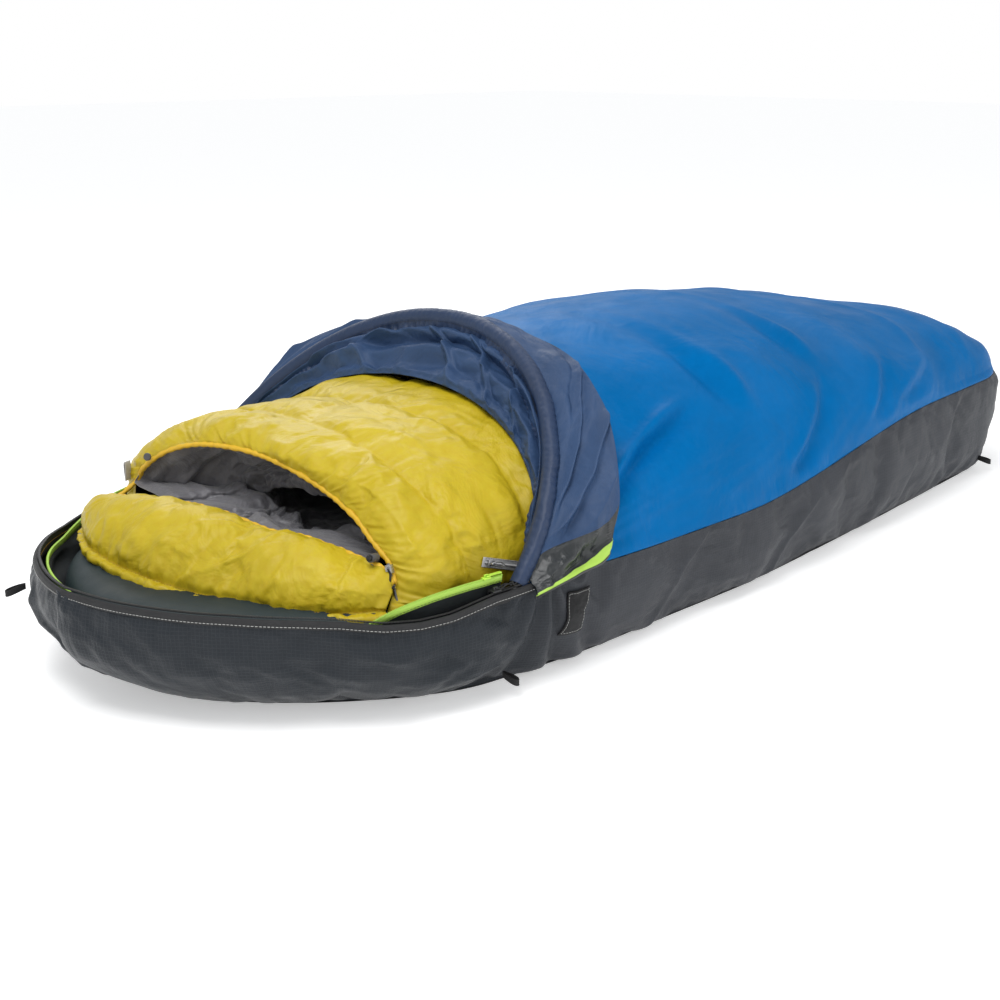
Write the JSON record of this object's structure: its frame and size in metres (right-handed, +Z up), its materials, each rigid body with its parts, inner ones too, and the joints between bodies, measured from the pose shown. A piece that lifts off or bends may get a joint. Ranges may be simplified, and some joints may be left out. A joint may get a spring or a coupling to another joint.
{
  "type": "bivy sack",
  "caption": "Clamshell bivy sack: waterproof top over a grey tub, hood folded back over a single-pole hoop, filled with a sleeping bag and pad.",
  "frame": {"origin": "centre of the underside of the floor panel, at the middle of the sack's length and width", "axes": "+X from the head end to the foot end, +Y to the side away from the open zip ends, +Z up"},
  "size_m": [2.135, 0.8592, 0.4566],
  "materials": {
    "floor_fabric": "matt coated ripstop nylon",
    "tub_fabric": "coated ripstop nylon, slightly glossy at the head",
    "shell_fabric": "smooth waterproof-breathable nylon with a soft sheen",
    "seam_tape": "clear matt seam tape",
    "zip_tape_black": "woven tape with white stitching",
    "zip_coil_black": "nylon coil",
    "insect_mesh": "fine black insect mesh",
    "zip_tape_green": "smooth laminated tape",
    "webbing_black": "woven nylon webbing",
    "hook_fabric": "hook-and-loop patch",
    "label": "white woven label with no print",
    "pole_alloy": "anodised tube",
    "plastic_black": "moulded acetal",
    "elastic_black": "braided shock cord",
    "hood_lining": "navy nylon, coated side, satin",
    "plastic_silver": "grey moulded ring",
    "skirt_fabric": "glossy coated nylon",
    "cord_black": "braided cord with a moulded grip",
    "plastic_green": "moulded zip slider",
    "pad_fabric": "dark teal polyester",
    "bag_fabric": "light down-proof nylon, satin",
    "bag_lining_fabric": "crinkled light nylon",
    "zip_coil_grey": "nylon coil",
    "zinc_slider": "die-cast zinc",
    "cord_grey": "ribbon pull",
    "plastic_grey": "moulded acetal",
    "zip_tape_silver": "reflective laminated tape",
    "webbing_grey": "woven tape"
  },
  "bodies": {
    "sack": {"floor_panel": "floor_fabric", "tub_wall": "tub_fabric", "top_panel": "shell_fabric", "hood_canopy": "shell_fabric", "foot_seam_tape": "seam_tape", "rim_zip_tape": "zip_tape_black", "rim_zip_coil": "zip_coil_black", "mesh_band": "insect_mesh", "mesh_zip_tape": "zip_tape_green", "pole_pockets": "webbing_black", "hook_patches": "hook_fabric", "stake_loops": "webbing_black", "guy_loop": "webbing_black", "care_label": "label", "hood_drape": "hood_lining", "sleeping_pad": "pad_fabric", "bag_shell": "bag_fabric", "bag_lining": "bag_lining_fabric", "bag_hood": "bag_fabric", "bag_draft_collar": "bag_lining_fabric", "bag_zip_coil": "zip_coil_grey", "hood_cord_lock": "plastic_grey", "pocket_zip_tape": "zip_tape_silver", "hood_snap": "plastic_grey", "hang_tab": "webbing_grey"},
    "hoop": {"pole_segment_near": "pole_alloy", "pole_segment_crown": "pole_alloy", "pole_segment_far": "pole_alloy", "pole_ferrules": "pole_alloy", "pole_tips": "plastic_black", "shock_cord": "elastic_black", "pole_sleeve": "hood_lining", "ring_tab": "hood_lining", "toggle_tag": "label"},
    "ring": {"hanging_ring": "plastic_silver"},
    "hood": {"hood_flap": "hood_lining", "flap_skirt": "skirt_fabric", "flap_zip_tape": "zip_tape_green"},
    "near_rim_slider": {"rim_slider_near": "plastic_black"},
    "far_rim_slider": {"rim_slider_far": "plastic_black"},
    "near_rim_pull": {"rim_pull_near": "cord_black"},
    "far_rim_pull": {"rim_pull_far": "cord_black"},
    "mesh_slider": {"mesh_slider": "plastic_green"},
    "mesh_pull": {"mesh_pull": "plastic_green"},
    "bag_slider": {"bag_zip_slider": "zinc_slider"},
    "bag_pull": {"bag_zip_pull": "cord_grey"},
    "lock_button": {"cord_lock_button": "plastic_black"},
    "pocket_slider": {"pocket_zip_slider": "zinc_slider"},
    "pocket_pull": {"pocket_zip_pull": "cord_grey"}
  },
  "joints": [
    {"name": "hoop_tilt", "type": "hinge", "parent": "sack", "child": "hoop", "pos_m": [-0.592, 0, 0.145], "axis": [0, 1, 0], "range_deg": [-30, 0]},
    {"name": "hood_close", "type": "hinge", "parent": "hoop", "child": "hood", "pos_m": [-0.592, 0, 0.145], "axis": [0, 1, 0], "range_deg": [-112, 0], "deforming": ["hood_flap", "flap_skirt"]},
    {"name": "ring_swing", "type": "hinge", "parent": "hoop", "child": "ring", "pos_m": [-0.42219, -0.27982, 0.34312], "axis": [0.4759, 0.682, 0.5553], "range_deg": [0, 60]},
    {"name": "near_rim_zip", "type": "hinge", "parent": "sack", "child": "near_rim_slider", "pos_m": [-0.592, 0.045, 0.155], "axis": [0, 0, 1], "range_deg": [-75, 0]},
    {"name": "near_rim_pull_flip", "type": "hinge", "parent": "near_rim_slider", "child": "near_rim_pull", "pos_m": [-0.63108, -0.40169, 0.1647], "axis": [0.0872, 0.9962, 0], "range_deg": [-175, 0]},
    {"name": "far_rim_zip", "type": "hinge", "parent": "sack", "child": "far_rim_slider", "pos_m": [-0.592, -0.045, 0.155], "axis": [0, 0, 1], "range_deg": [0, 75]},
    {"name": "far_rim_pull_flip", "type": "hinge", "parent": "far_rim_slider", "child": "far_rim_pull", "pos_m": [-0.63108, 0.40169, 0.1647], "axis": [0.0872, -0.9962, 0], "range_deg": [0, 175]},
    {"name": "mesh_zip", "type": "hinge", "parent": "sack", "child": "mesh_slider", "pos_m": [-0.592, 0.045, 0.178], "axis": [0, 0, 1], "range_deg": [-19, 0]},
    {"name": "mesh_pull_flip", "type": "hinge", "parent": "mesh_slider", "child": "mesh_pull", "pos_m": [-0.63782, -0.391, 0.1815], "axis": [0.1045, 0.9945, 0], "range_deg": [-175, 0]},
    {"name": "bag_zip", "type": "slide", "parent": "sack", "child": "bag_slider", "axis": [-0.0902, -0.4212, -0.9025], "range_m": [0, 0.04]},
    {"name": "bag_pull_flip", "type": "hinge", "parent": "bag_slider", "child": "bag_pull", "pos_m": [-0.73325, -0.30035, 0.19306], "axis": [0.3059, -0.8741, 0.3773], "range_deg": [-175, 0]},
    {"name": "cord_lock_press", "type": "slide", "parent": "sack", "child": "lock_button", "axis": [-0.9478, -0.242, 0.2077], "range_m": [-0.0028, 0], "stiffness_N_per_m": 250, "springref_m": 0.0005},
    {"name": "pocket_zip", "type": "slide", "parent": "sack", "child": "pocket_slider", "axis": [0.9427, -0.1258, -0.309], "range_m": [0, 0.07]},
    {"name": "pocket_pull_flip", "type": "hinge", "parent": "pocket_slider", "child": "pocket_pull", "pos_m": [-0.59255, -0.35624, 0.17881], "axis": [0.3148, 0.0284, 0.9487], "range_deg": [-175, 0]}
  ]
}
